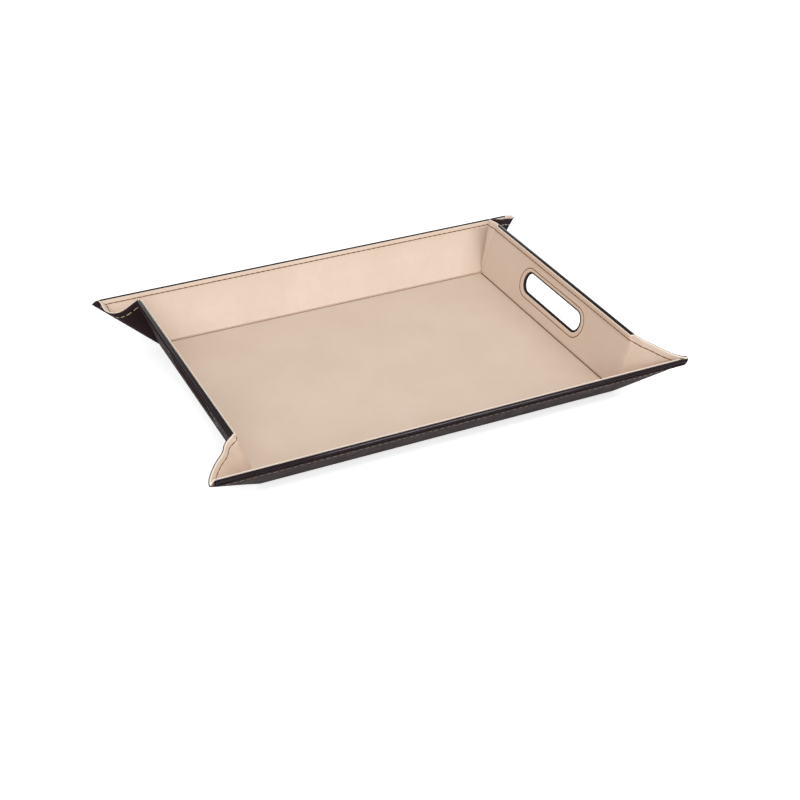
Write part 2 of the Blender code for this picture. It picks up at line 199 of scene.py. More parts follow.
# The camera's place and turn, from the perspective of the photograph
CAMERA_PLACE = Vector((-0.6166, -1.3407, 0.8779))
CAMERA_AHEAD = Vector((0.3653, 0.7659, -0.5291))
CAMERA_UP = Vector((0.2264, 0.4782, 0.8485))
CAMERA_LENS = 68.77
CAMERA_SENSOR = 36
CAMERA_NEAR = 0.01

# The stage. A lamp has a place, a point that it faces, a width and height, and a power
FLOOR_SIZE = 24
FLOOR_DROP = 0.0002
FLOOR_GLOW = 0.62
WORLD_LIGHT = 0.66
WHITE = (1, 1, 1, 1)
DAYLIGHT = (0.95, 0.98, 1.0)
LAMPS = {
    "key_lamp": ((-1.25, -2.35, 1.5), (0, 0, 0), (1.6, 1.6), 39),
    "fill_lamp": ((0.95, -1.55, 1.75), (0.95, -0.2, 0), (1.7, 0.26), 21),
}

# Each side: quarter turns from the back, distance of its fold and how far it stands up
SIDES = {
    "back": (0, HALF_WIDTH, LONG_ANGLE),
    "left": (1, HALF_LENGTH, SHORT_ANGLE),
    "front": (2, HALF_WIDTH, LONG_ANGLE),
    "right": (3, HALF_LENGTH, SHORT_ANGLE),
}

# Each corner: its directions from the middle of the tray along x and y
CORNERS = {
    "back_right": (1, 1),
    "back_left": (-1, 1),
    "front_right": (1, -1),
    "front_left": (-1, -1),
}

# Each face: which way it lies from the middle of the sandwich
FACES = {"cream": 1, "chocolate": -1}


def ease(share):
    """A share from 0 to 1 that starts and ends softly."""
    share = min(1.0, max(0.0, share))
    return share * share * (3 - 2 * share)


# Relief of the leather, as heights and shares by the place in the flat


def board_share(distance, valley=VALLEYS["chocolate"]):
    """How far the leather has risen onto a board at a distance from a fold."""
    return ease((distance - valley[0]) / (valley[1] - valley[0]))


def line_share(offset, half=SEAM_HALF):
    """A narrow mark along a line, by the distance from it."""
    return max(0.0, 1 - abs(offset) / half)


def rise_share(y):
    """How far the leather has risen from the seam onto the lip, across a side."""
    return ease((y - SEAM_END) / (LIP_CREST - SEAM_END))


def lip_share(y):
    """How far a point across a side lies past the crest of its lip, where the lip rounds down
    and takes its painted highlight.
    """
    return ease((y - LIP_CREST) / (SIDE_WIDTH - LIP_CREST))


def groove_share(y):
    """How deep the rim stitches have pulled the leather in, across a side."""
    return max(0.0, 1 - ((y - SEAM_LINE) / GROOVE_HALF) ** 2)


def rim_height(y, piped):
    """Height across the rim of a side; piped is 1 over the roll and 0 at a bare tip."""
    drop = ease((y - RIM_CREST) / (SEAM_START - RIM_CREST))
    sewn = groove_share(y)
    over_roll = (CREST - (CREST - SEAM_FLOOR) * drop + (LIP_TOP - SEAM_FLOOR) * rise_share(y)
                 - SEAM_PULL * sewn)
    thin = CREST - (CREST - PINCHED) * drop - STITCH_GROOVE * sewn
    return piped * over_roll + (1 - piped) * thin - LIP_ROUND * lip_share(y) * piped


def rim_edge(y, piped, edge):
    """Draw the lip back from the roll's outline; at a bare tip it keeps its full width."""
    if y <= LIP_CREST:
        return y
    pulled = LIP_CREST + (y - LIP_CREST) * (edge - LIP_CREST) / (SIDE_WIDTH - LIP_CREST)
    return piped * pulled + (1 - piped) * y


def crease_share(y):
    """How much of its full form the crease beside a gusset has, away from the base."""
    return ease((y - STRIP_EDGE) / CREASE_START)


def crease_half(y):
    """Height of the leather at the crease beside a gusset, fullest away from both ends."""
    end = 1 - ease((y - RIM_CREST) / CREASE_START)
    return PINCHED + (CREASE_HALF - PINCHED) * crease_share(y) * end


def crease_valley(y):
    """How far the leather takes to rise from the crease beside a gusset onto the board."""
    return (0.0, END_VALLEY[1] + (CREASE_WIDTH - END_VALLEY[1]) * crease_share(y))


def long_piped(x):
    """Share of the piped profile along a long side, by the distance past the base's corner."""
    return 1 - ease((x + HALF_LENGTH - LONG_ROLL_END) / LONG_CLOSE)


def short_piped(x):
    """Share of the piped profile along a short side."""
    return 1 - ease((abs(x) - SHORT_ROLL_END) / SHORT_CLOSE)


# Folding the flat leather into its place


def side_matrix(label, share=1.0):
    """From a side's flat frame to its place, with its fold turned by a share."""
    turns, distance, angle = SIDES[label]
    return (Matrix.Translation((0, 0, FOLD_HEIGHT))
            @ Matrix.Rotation(turns * math.pi / 2, 4, "Z")
            @ Matrix.Translation((0, distance, 0))
            @ Matrix.Rotation(angle * share, 4, "X"))


def side_place(label):
    """Places a point of a side's flat leather."""
    matrix = side_matrix(label)
    return lambda x, y, z: matrix @ Vector((x, y, z))


def fold_place(label):
    """Places a point of a fold strip, which bends from the base to the side."""
    def place(x, y, z):
        share = ease((y + BEND_HALF) / (2 * BEND_HALF))
        return side_matrix(label, share) @ Vector((x, y, z))
    return place


def base_place(x, y, z):
    """Places a point of the base's leather."""
    return Vector((x, y, FOLD_HEIGHT + z))


def crisp_direction(angle):
    """Where a line from the base's corner point runs when the folds are hard."""
    along, up = math.cos(angle), math.sin(angle)
    if angle >= TIP_ANGLE:
        return Vector((along, up * math.cos(LONG_ANGLE), up * math.sin(LONG_ANGLE)))
    crease = Vector((math.cos(SHORT_ANGLE), 0, math.sin(SHORT_ANGLE)))
    rim = Vector((1, math.cos(LONG_ANGLE), math.sin(LONG_ANGLE))) - crease
    return along * crease + up * rim


def slope_of(function, angle):
    """Rate of change of a direction with its angle."""
    return (function(angle + SLOPE_STEP) - function(angle - SLOPE_STEP)) / (2 * SLOPE_STEP)


def corner_knots(bulge):
    """Directions of a soft corner at its fan's knots, and their slopes."""
    on_gusset, tip_on_gusset, tip_on_side = bulge
    gusset_up = crisp_direction(0).cross(crisp_direction(TIP_ANGLE)).normalized()
    side_up = Vector((0, -math.sin(LONG_ANGLE), math.cos(LONG_ANGLE)))
    pushes = [push * gusset_up for push in (0, *on_gusset, tip_on_gusset, 0)]
    pushes[-2] += tip_on_side * side_up
    knots = [(crisp_direction(angle) + push).normalized()
             for angle, push in zip(FAN_KNOTS, pushes)]
    steps = [after - before for before, after in zip(FAN_KNOTS, FAN_KNOTS[1:])]
    rates = [(after - before) / step for before, after, step in zip(knots, knots[1:], steps)]
    slopes = [rates[0]]
    for number in range(1, len(rates)):
        before, after = steps[number - 1], steps[number]
        slopes.append((rates[number - 1] * after + rates[number] * before) / (before + after))
    slopes.append(slope_of(crisp_direction, FAN_KNOTS[-1]))
    return knots, slopes


def soft_direction(bulge):
    """The direction of a line from the base's corner point, by its angle in the flat."""
    knots, slopes = corner_knots(bulge)

    def direction(angle):
        if angle >= FAN_KNOTS[-1]:
            return crisp_direction(angle)
        index = sum(knot <= angle for knot in FAN_KNOTS[1:])
        width = FAN_KNOTS[index + 1] - FAN_KNOTS[index]
        t = (angle - FAN_KNOTS[index]) / width
        point = ((2 * t ** 3 - 3 * t ** 2 + 1) * knots[index]
                 + (t ** 3 - 2 * t ** 2 + t) * width * slopes[index]
                 + (3 * t ** 2 - 2 * t ** 3) * knots[index + 1]
                 + (t ** 3 - t ** 2) * width * slopes[index + 1])
        return point.normalized()
    return direction


def corner_place(label):
    """Places a point of a corner's leather, drawn flat from the base's corner point."""
    across, up = CORNERS[label]
    towards = soft_direction(CORNER_BULGES[label])

    def place(x, y, z):
        angle = math.atan2(y, x)
        direction = towards(angle)
        normal = direction.cross(slope_of(towards, angle)).normalized()
        point = math.hypot(x, y) * direction + z * normal
        return Vector((across * (HALF_LENGTH + point.x), up * (HALF_WIDTH + point.y),
                       FOLD_HEIGHT + point.z))
    return place


# Modelling in the flat


def take(piece):
    """Make one piece the active and only selected one."""
    bpy.ops.object.select_all(action="DESELECT")
    piece.select_set(True)
    bpy.context.view_layer.objects.active = piece


def flat_sheet(name, low, high):
    """A flat rectangle of leather between two corners."""
    middle = ((low[0] + high[0]) / 2, (low[1] + high[1]) / 2, 0)
    bpy.ops.mesh.primitive_plane_add(size=1, location=middle)
    sheet = bpy.context.object
    sheet.name = name
    sheet.scale = (high[0] - low[0], high[1] - low[1], 1)
    bpy.ops.object.transform_apply(location=True, rotation=True, scale=True)
    return sheet


def cut(sheet, lines, trim=False):
    """Cut a sheet along lines, each a point and a direction square to the line.

    With trim, what lies ahead in that direction is cut off.
    """
    take(sheet)
    bpy.ops.object.mode_set(mode="EDIT")
    for point, ahead in lines:
        bpy.ops.mesh.select_all(action="SELECT")
        bpy.ops.mesh.bisect(plane_co=(*point, 0), plane_no=(*ahead, 0), use_fill=False,
                            clear_outer=trim, threshold=TINY)
    bpy.ops.object.mode_set(mode="OBJECT")


def rows(places):
    """Cutting lines across y."""
    return [((0, place), (0, 1)) for place in places]


def columns(places):
    """Cutting lines across x."""
    return [((place, 0), (1, 0)) for place in places]


def both_ways(places):
    """The same places on both sides of the middle of a pattern."""
    return [-place for place in places] + places


def both_ends(x, y, ahead):
    """The cutting lines at the two ends of a pattern, which mirror each other."""
    return [((turn * x, y), (turn * ahead[0], ahead[1])) for turn in (1, -1)]


def relief(sheet, height, edge=None, seam=None, rub=None):
    """Press the relief into a flat sheet, and mark the painted shade along its seams and folds
    and the painted highlight on its lip.
    """
    mesh = sheet.data
    mesh.attributes.new("seam", "FLOAT", "POINT")
    mesh.attributes.new("rub", "FLOAT", "POINT")
    seams, lip_highlights = (mesh.attributes[name].data for name in ("seam", "rub"))
    for vertex, sewn, highlit in zip(mesh.vertices, seams, lip_highlights):
        x, y = vertex.co.x, vertex.co.y
        vertex.co.z += height(x, y)
        sewn.value = seam(x, y) if seam else 0.0
        highlit.value = rub(x, y) if rub else 0.0
        if edge:
            vertex.co.x, vertex.co.y = edge(x, y)


def mark_rim(sheet, on_rim, hem):
    """Remember which vertices lie on a sheet's cut rim, and how far its hem reaches."""
    rim = sheet.vertex_groups.new(name="rim")
    hemmed = sheet.vertex_groups.new(name="hem")
    for vertex in sheet.data.vertices:
        if on_rim(vertex.co.x, vertex.co.y):
            rim.add([vertex.index], 1.0, "REPLACE")
        hemmed.add([vertex.index], hem(vertex.co.x, vertex.co.y), "REPLACE")


def thicken(sheet):
    """Give a sheet its thickness, towards the boards, and round its rim.

    The leather is turned back under itself in the hem, so it is thicker there.
    """
    take(sheet)
    solid = sheet.modifiers.new("thickness", "SOLIDIFY")
    solid.thickness = LEATHER
    solid.offset = -1
    solid.use_even_offset = True
    if "hem" in sheet.vertex_groups:
        solid.thickness = HEM
        solid.vertex_group = "hem"
        solid.thickness_vertex_group = LEATHER / HEM
    bpy.ops.object.modifier_apply(modifier=solid.name)
    if "rim" in sheet.vertex_groups:
        round_rim(sheet)
    bpy.ops.object.shade_smooth_by_angle(angle=SHARP_ANGLE)


def select_where(piece, kind, test):
    """Select the vertices, edges or faces of a piece in edit mode that pass a test."""
    bpy.ops.mesh.select_all(action="DESELECT")
    shape = bmesh.from_edit_mesh(piece.data)
    shape.select_mode = {kind}
    for part in {"VERT": shape.verts, "EDGE": shape.edges, "FACE": shape.faces}[kind]:
        if test(part):
            part.select_set(True)
    shape.select_flush_mode()
    bmesh.update_edit_mesh(piece.data)


def round_rim(sheet):
    """Round the two long edges of the leather's cut rim."""
    group = sheet.vertex_groups["rim"].index
    rim = {v.index for v in sheet.data.vertices if any(g.group == group for g in v.groups)}

    def along_rim(edge):
        first, second = edge.verts
        run = second.co - first.co
        return first.index in rim and second.index in rim and abs(run.z) < run.length / 2

    bpy.ops.object.mode_set(mode="EDIT")
    select_where(sheet, "EDGE", along_rim)
    bpy.ops.mesh.bevel(offset=EDGE_ROUND, segments=EDGE_SEGMENTS, affect="EDGES",
                       clamp_overlap=True)
    bpy.ops.object.mode_set(mode="OBJECT")


def copy_to(flat, name, face, place, finish, mirrored=False):
    """A copy of a flat piece on one face of the sandwich, folded into its place."""
    piece = flat.copy()
    piece.data = flat.data.copy()
    piece.name = piece.data.name = name
    bpy.context.scene.collection.objects.link(piece)
    for vertex in piece.data.vertices:
        vertex.co = place(vertex.co.x, vertex.co.y, face * vertex.co.z)
    if (face < 0) != mirrored:
        piece.data.flip_normals()
    piece.vertex_groups.clear()
    piece.data.materials.clear()
    piece.data.materials.append(finish)
    return piece


def discard(*pieces):
    """Remove the flat patterns once their copies are in place."""
    for piece in pieces:
        mesh = piece.data
        bpy.data.objects.remove(piece)
        bpy.data.meshes.remove(mesh)


# Materials


class Graph:
    """A node tree that is built up node by node."""

    def __init__(self, tree):
        self.nodes, self.links = tree.nodes, tree.links
        self.nodes.clear()

    def put(self, socket, value):
        """Link a socket to an output, or set it to a value."""
        if isinstance(value, bpy.types.NodeSocket):
            self.links.new(value, socket)
        else:
            socket.default_value = value

    def node(self, kind, inputs=None, **settings):
        """Add a node, with values or outputs for its inputs by their name or number."""
        made = self.nodes.new(kind)
        for name, value in settings.items():
            setattr(made, name, value)
        for key, value in (inputs or {}).items():
            self.put(made.inputs[key], value)
        return made

    def combine(self, operation, first, second):
        """Two values made one by a Math node."""
        return self.node("ShaderNodeMath", {0: first, 1: second}, operation=operation).outputs[0]


class Finish(Graph):
    """A Principled material on object coordinates."""

    def __init__(self, name):
        self.material = bpy.data.materials.get(name) or bpy.data.materials.new(name)
        self.material.use_nodes = True
        super().__init__(self.material.node_tree)
        self.shader = self.node("ShaderNodeBsdfPrincipled")
        self.output = self.node("ShaderNodeOutputMaterial", {"Surface": self.shader.outputs[0]})
        self.place = self.node("ShaderNodeTexCoord").outputs["Object"]

    def noise(self, scale, detail=3.0, roughness=0.5):
        """Cloudy noise, in features per metre."""
        return self.node("ShaderNodeTexNoise", {
            "Vector": self.place, "Scale": scale, "Detail": detail, "Roughness": roughness,
        }).outputs["Fac"]

    def ramp(self, share, low, high, first, second):
        """A value from first to second as share goes from low to high."""
        return self.node("ShaderNodeMapRange", {
            "Value": share, "From Min": low, "From Max": high, "To Min": first, "To Max": second,
        }, interpolation_type="SMOOTHSTEP").outputs["Result"]

    def mix(self, share, first, second):
        """Two colours mixed by a share."""
        return self.node("ShaderNodeMix", {0: share, 6: first, 7: second},
                         data_type="RGBA").outputs[2]

    def bump(self, height, distance, strength, under=None):
        """A bump layer, over another one where that is given."""
        made = self.node("ShaderNodeBump", {
            "Height": height, "Distance": distance, "Strength": strength})
        if under:
            self.put(made.inputs["Normal"], under)
        return made.outputs["Normal"]

    def attribute(self, name):
        """A value stored on the mesh."""
        return self.node("ShaderNodeAttribute", attribute_name=name).outputs["Fac"]

    def finish(self, colour, roughness, normal, others=None):
        """Connect the shader."""
        values = {"Base Color": colour, "Roughness": roughness, "Normal": normal}
        for name, value in (values | (others or {})).items():
            self.put(self.shader.inputs[name], value)
        return self.material


def leather(name, colour, shade, seam, highlit, rough, gloss, glint=WHITE, grain=1.0):
    """Smooth bonded leather: fine pebble grain, faint clouds, painted shade along seams and
    folds, where it shines less, and a painted highlight on the lip.
    """
    kit = Finish(name)
    clouds = kit.ramp(kit.noise(14.0, 4.0), 0.35, 0.65, 0.0, 0.35)
    fine = kit.noise(260.0, 4.0, 0.6)
    base = kit.mix(clouds, (*colour, 1), (*shade, 1))
    base = kit.mix(kit.ramp(fine, 0.3, 0.7, 0.0, 0.16), base, (*shade, 1))
    # Painted shade: the seam mark darkens the leather to its seam tone along seam grooves and
    # fold valleys, where shade falls, and dulls its shine there.
    painted_seam_shade = kit.ramp(kit.attribute("seam"), 0.0, 0.55, 0.0, 1.0)
    base = kit.mix(painted_seam_shade, base, (*seam, 1))
    # Painted highlight: the lip mark pales the leather towards its lip tone, as if the lip were
    # lit.
    base = kit.mix(kit.ramp(kit.attribute("rub"), 0.2, 1.0, 0.0, 0.85), base, (*highlit, 1))
    cells = kit.node("ShaderNodeTexVoronoi", {"Vector": kit.place, "Scale": 1050.0},
                     feature="DISTANCE_TO_EDGE").outputs["Distance"]
    pebbles = kit.ramp(cells, 0.0, 0.22, 0.0, 1.0)
    normal = kit.bump(kit.noise(38.0, 2.0), 0.0008, 0.10 * grain)
    normal = kit.bump(pebbles, 0.00005, 0.35 * grain, normal)
    normal = kit.bump(kit.noise(2600.0, 3.0, 0.6), 0.00003, 0.25 * grain, normal)
    roughness = kit.ramp(kit.noise(75.0, 3.0), 0.3, 0.7, rough - 0.05, rough + 0.06)
    shine = kit.ramp(painted_seam_shade, 0.0, 1.0, gloss, 0.15 * gloss)
    return kit.finish(base, roughness, normal,
                      {"Specular IOR Level": shine, "Specular Tint": glint})


def thread(name, colour, dark):
    """Waxed sewing thread with its plies, and some strands that are darker by a share."""
    kit = Finish(name)
    shade = [dark * part for part in colour]
    strands = kit.ramp(kit.noise(1400.0, 4.0, 0.6), 0.35, 0.7, 0.0, 0.7)
    base = kit.mix(strands, (*colour, 1), (*shade, 1))
    plies = kit.node("ShaderNodeTexWave", {
        "Vector": kit.place, "Scale": 520.0, "Distortion": 1.5,
    }, bands_direction="DIAGONAL").outputs["Fac"]
    normal = kit.bump(plies, 0.00012, 0.6)
    normal = kit.bump(kit.noise(5200.0, 2.0), 0.00003, 0.5, normal)
    roughness = kit.ramp(kit.noise(900.0), 0.3, 0.7, 0.5, 0.7)
    return kit.finish(base, roughness, normal, {"Specular IOR Level": 0.10})


def greyboard():
    """Raw greyboard: pressed fibres, pale and dark flecks."""
    kit = Finish("greyboard_finish")
    fibres = kit.ramp(kit.noise(420.0, 6.0, 0.7), 0.35, 0.65, 0.0, 1.0)
    base = kit.mix(fibres, (0.34, 0.31, 0.27, 1), (0.22, 0.20, 0.17, 1))
    flecks = kit.ramp(kit.noise(1500.0, 2.0), 0.62, 0.7, 0.0, 0.6)
    base = kit.mix(flecks, base, (0.45, 0.42, 0.37, 1))
    normal = kit.bump(fibres, 0.0001, 0.4)
    return kit.finish(base, 0.9, normal)


def core_plastic():
    """Extruded plastic of the piping core, with fine drawing lines."""
    kit = Finish("core_finish")
    lines = kit.noise(600.0, 2.0)
    base = kit.mix(kit.ramp(lines, 0.4, 0.6, 0.0, 0.3), (0.58, 0.57, 0.54, 1),
                   (0.42, 0.41, 0.39, 1))
    normal = kit.bump(lines, 0.00004, 0.3)
    return kit.finish(base, kit.ramp(lines, 0.3, 0.7, 0.35, 0.5), normal)


def backdrop():
    """White paper: the camera sees it lifted to white, with the tray's shadow kept."""
    kit = Finish("backdrop_finish")
    grain = kit.ramp(kit.noise(40.0), 0.3, 0.7, 0.0, 1.0)
    base = kit.mix(grain, (0.80, 0.80, 0.80, 1), (0.79, 0.79, 0.79, 1))
    kit.finish(base, 0.9, kit.bump(grain, 0.0001, 0.05), {"Specular IOR Level": 0.0})
    rays = kit.node("ShaderNodeLightPath").outputs
    seen = kit.combine("MAXIMUM", rays["Is Camera Ray"], rays["Is Glossy Ray"])
    glow = kit.node("ShaderNodeEmission", {
        "Color": WHITE, "Strength": kit.combine("MULTIPLY", seen, FLOOR_GLOW)})
    both = kit.node("ShaderNodeAddShader", {0: kit.shader.outputs[0], 1: glow.outputs[0]})
    kit.put(kit.output.inputs["Surface"], both.outputs[0])
    return kit.material


# Colours and sizes that a user may change


def tint(name, description, default):
    """A colour that a user may change."""
    return bpy.props.FloatVectorProperty(name=name, description=description, default=default,
                                         subtype="COLOR", min=0, max=1)


def measure(name, description, default, low, high):
    """A length that a user may change."""
    return bpy.props.FloatProperty(name=name, description=description, default=default,
                                   min=low, max=high, unit="LENGTH")


class TrayColours(bpy.types.PropertyGroup):
    """Colours of the tray, as linear red, green and blue."""

    cream: tint("Cream leather", "Colour of the pale face", (0.678, 0.530, 0.420))
    cream_shade: tint("Cream shade", "Darker tone in the clouds and creases of the pale face",
                      (0.600, 0.450, 0.340))
    # Painted shade: this tone darkens the pale face along its seam grooves and fold valleys,
    # where shade falls.
    cream_seam_shade: tint("Cream seam", "Brown tone along the seams and folds of the pale face",
                     (0.200, 0.062, 0.010))
    # Painted highlight: this paler tone is laid on the pale face's lip, as if lit.
    cream_lip_highlight: tint("Cream lip", "Paler tone where the pale face's lip is rubbed",
                    (0.90, 0.78, 0.66))
    chocolate: tint("Chocolate leather", "Colour of the dark face", (0.032, 0.0185, 0.0195))
    chocolate_shade: tint("Chocolate shade", "Darker tone in the creases of the dark face",
                          (0.014, 0.008, 0.008))
    # Painted shade: this tone darkens the dark face and the rolls along seam grooves and fold
    # valleys, where shade falls.
    chocolate_seam_shade: tint("Chocolate seam", "Tone along the seams and folds of the dark face",
                         (0.005, 0.003, 0.003))
    # Painted highlight: this paler tone is laid on the dark face's lip, as if lit.
    chocolate_lip_highlight: tint("Chocolate lip", "Paler tone where the dark face's lip is rubbed",
                        (0.045, 0.030, 0.030))
    roll: tint("Rim leather", "Colour of the leather stretched round the rims",
               (0.007, 0.0035, 0.0045))
    cream_thread: tint("Cream thread", "Thread on the dark face", (0.55, 0.45, 0.33))
    brown_thread: tint("Brown thread", "Thread on the pale face", (0.170, 0.056, 0.010))


class TraySizes(bpy.types.PropertyGroup):
    """Sizes of the stitching."""

    stitch_pitch: measure("Stitch pitch", "Distance from one stitch to the next",
                          0.0069, 0.002, 0.02)
    stitch_length: measure("Stitch length", "Length of one stitch", 0.0055, 0.001, 0.02)
    thread_width: measure("Thread width", "Width of the thread as it lies",
                          0.0011, 0.0002, 0.003)
    thread_height: measure("Thread height", "Height of the thread as it lies",
                           0.0007, 0.0002, 0.003)


def colours():
    """The colours set for this tray."""
    return bpy.context.scene.tray_colours


def sizes():
    """The sizes set for this tray."""
    return bpy.context.scene.tray_sizes


def leather_finishes():
    """The two leathers, and the dark one as it lies stretched round the rims."""
    tones = colours()
    dark = (tones.chocolate_shade, tones.chocolate_seam_shade, tones.chocolate_lip_highlight)
    return {
        "cream": leather("cream_leather_finish", tones.cream, tones.cream_shade,
                         tones.cream_seam_shade, tones.cream_lip_highlight, rough=0.48, gloss=0.55),
        "chocolate": leather("chocolate_leather_finish", tones.chocolate, *dark,
                             rough=0.58, gloss=0.02),
        "roll": leather("roll_leather_finish", tones.roll, *dark, rough=0.14, gloss=0.16,
                        glint=(1.0, 0.87, 0.95, 1), grain=0.15),
    }


# The pieces of leather and their rolls


def valley_rows(valley):
    """Distances from a fold at which a strip is cut, closest where it bends or climbs."""
    bend = [valley[0] * share for share in BEND_SHARES]
    slope = [valley[0] + (valley[1] - valley[0]) * share for share in SLOPE_SHARES[1:]]
    return bend + slope


def end_rows():
    """Distances from a gusset's fold at which the leather beside it is cut."""
    return [GUSSET_RISE * share for share in END_SHARES]


def fold_strip(half, slanted, valley):
    """The flat pattern of the leather along one fold of the base.

    Its base edge is mitred. A slanted strip widens to the side, towards the tips.
    """
    places = valley_rows(valley)
    sheet = flat_sheet("fold_pattern", (-half, -STRIP_EDGE), (half, STRIP_EDGE))
    cut(sheet, rows(both_ways(places)))
    cut(sheet, columns(both_ways([half - place for place in places + end_rows()[1:]])))
    cut(sheet, both_ends(half, 0, (1, -1)), trim=True)
    if slanted:
        cut(sheet, both_ends(half, 0, (1, TIP_LEAN)), trim=True)

    def height(x, y):
        end = half - abs(x)
        if y <= 0:
            share = board_share(min(-y, end), valley)
        else:
            if slanted:
                end = (y + end) / math.sqrt(2)
            share = min(board_share(y, valley), board_share(end, END_VALLEY))
        return PINCHED + (CREST - PINCHED) * share

    # The mark is painted shade along the bottom of the fold's valley.
    relief(sheet, height, seam=lambda x, y: line_share(y, valley[1] / 2))
    thicken(sheet)
    return sheet


def make_fold_strips(finishes):
    """Leather over the four folds of the base, on both faces."""
    for colour, face in FACES.items():
        valley = VALLEYS[colour]
        patterns = (fold_strip(HALF_LENGTH, True, valley), fold_strip(HALF_WIDTH, False, valley))
        for label, (turns, *_) in SIDES.items():
            start = side_matrix(label, 0) @ Vector((0, -BEND_HALF, 0))
            end = side_matrix(label) @ Vector((0, BEND_HALF, 0))
            piece = copy_to(patterns[turns % 2], f"{label}_fold_{colour}_strip", face,
                            fold_place(label), finishes[colour])
            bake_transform(piece)
        discard(*patterns)


def leather_faces(body, patterns, finishes, place, mirrored=False, bend=None):
    """Both leather faces of a panel, which ride its body, or are baked where they lie when a
    bend is given.
    """
    for colour, face in FACES.items():
        piece = copy_to(patterns[colour], f"{body}_{colour}_face", face, place,
                        finishes[colour], mirrored)
        if bend:
            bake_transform(piece)
        else:
            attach(piece, body)
        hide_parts(f"{body}_{colour}_leather")


def make_base(finishes):
    """The two faces of the base."""
    low = (STRIP_EDGE - HALF_LENGTH, STRIP_EDGE - HALF_WIDTH)
    sheet = flat_sheet("base_pattern", low, (-low[0], -low[1]))
    relief(sheet, lambda x, y: CREST)
    thicken(sheet)
    leather_faces("base", dict.fromkeys(FACES, sheet), finishes, base_place)
    discard(sheet)


def long_pattern():
    """The flat pattern of a long side, between its two tip folds."""
    half = HALF_LENGTH + SIDE_WIDTH
    sheet = flat_sheet("long_pattern", (-half, STRIP_EDGE), (half, SIDE_WIDTH))
    cut(sheet, rows(RIM_ROWS))
    point, ahead = tip_border()
    cut(sheet, both_ends(HALF_LENGTH + point.x, point.y, ahead), trim=True)
    mark_rim(sheet, lambda x, y: y > SIDE_WIDTH - TINY, lambda x, y: rise_share(y))
    # Its marks are painted shade along the rim's seam and a painted highlight on the lip.
    relief(sheet, lambda x, y: rim_height(y, 1.0),
           lambda x, y: (x, rim_edge(y, 1.0, LONG_LIP_EDGE)),
           lambda x, y: line_share(y - SEAM_LINE), lambda x, y: lip_share(y))
    thicken(sheet)
    return sheet


def tip_border():
    """A point and the outward direction of the line where a long side's leather is cut.

    It runs from beside the base's corner to the rim, clear of the soft fold at the tip.
    """
    near = Vector((-STRIP_EDGE * TIP_LEAN, STRIP_EDGE))
    far = Vector((SIDE_WIDTH - TIP_PANEL_SETBACK * math.sqrt(2), SIDE_WIDTH))
    along = far - near
    return near, Vector((along.y, -along.x)).normalized()


def make_long_sides(finishes):
    """Both faces of the front and back sides."""
    sheet = long_pattern()
    for label in ("front", "back"):
        leather_faces(label + "_side", dict.fromkeys(FACES, sheet), finishes, side_place(label))
    discard(sheet)


def slot_ring(share):
    """Outline between the hand slot (share 0) and its stitched line (share 1)."""
    radius = (SLOT_WIDTH + share * (SLOT_SEAM_WIDTH - SLOT_WIDTH)) / 2
    length = SLOT_LENGTH + share * (SLOT_SEAM_LENGTH - SLOT_LENGTH)
    middle = SLOT_MIDDLE + share * (SLOT_SEAM_MIDDLE - SLOT_MIDDLE)
    reach = length / 2 - radius
    points = []
    for turn, start in ((1, -math.pi / 2), (-1, math.pi / 2)):
        for step in range(SLOT_ARC_STEPS + 1):
            angle = start + math.pi * step / SLOT_ARC_STEPS
            points.append((turn * reach + radius * math.cos(angle),
                           middle + radius * math.sin(angle)))
    return points


def slot_distance(x, y):
    """Distance of a point from the stitched line round the slot."""
    radius = SLOT_SEAM_WIDTH / 2
    reach = SLOT_SEAM_LENGTH / 2 - radius
    return math.hypot(max(0.0, abs(x) - reach), y - SLOT_SEAM_MIDDLE) - radius


def slot_lip(rings):
    """The pressed lip round a hand slot: a ring of edges, extruded inwards."""
    count = len(slot_ring(0))
    bpy.ops.mesh.primitive_circle_add(vertices=count, radius=SLOT_LENGTH, fill_type="NOTHING")
    lip = bpy.context.object
    bpy.ops.object.mode_set(mode="EDIT")
    shape = bmesh.from_edit_mesh(lip.data)
    station = shape.verts.layers.int.new("station")
    for index, vertex in enumerate(shape.verts):
        vertex[station] = index
    for number, (share, height) in enumerate(rings):
        if number:
            bpy.ops.mesh.extrude_region_move()
            shape = bmesh.from_edit_mesh(lip.data)
            station = shape.verts.layers.int["station"]
        outline = slot_ring(share)
        for vertex in shape.verts:
            if vertex.select:
                vertex.co = (*outline[vertex[station]], height)
        bmesh.update_edit_mesh(lip.data)
    bpy.ops.object.mode_set(mode="OBJECT")
    return lip


def set_slot(sheet, rings):
    """Cut a window in a flat side and sew the slot's lip into it."""
    low, high = SLOT_WINDOW
    cut(sheet, rows((low[1], high[1])) + columns((low[0], high[0])))

    def within(place, margin):
        return all(low[axis] - margin < place[axis] < high[axis] + margin for axis in (0, 1))

    def open_edge(edge):
        middle = (edge.verts[0].co + edge.verts[1].co) / 2
        return edge.is_boundary and within(middle, TINY) and abs(middle.z) < TINY

    shape = bmesh.new()
    shape.from_mesh(sheet.data)
    inside = [face for face in shape.faces if within(face.calc_center_median(), 0)]
    bmesh.ops.delete(shape, geom=inside, context="FACES")
    shape.to_mesh(sheet.data)
    shape.free()
    lip = slot_lip(rings)
    take(sheet)
    lip.select_set(True)
    bpy.ops.object.join()
    bpy.ops.object.mode_set(mode="EDIT")
    select_where(sheet, "EDGE", open_edge)
    bpy.ops.mesh.fill(use_beauty=True)
    bpy.ops.mesh.select_all(action="SELECT")
    bpy.ops.mesh.remove_doubles(threshold=TINY)
    bpy.ops.mesh.normals_make_consistent(inside=False)
    bpy.ops.object.mode_set(mode="OBJECT")
    if sum(face.normal.z * face.area for face in sheet.data.polygons) < 0:
        sheet.data.flip_normals()


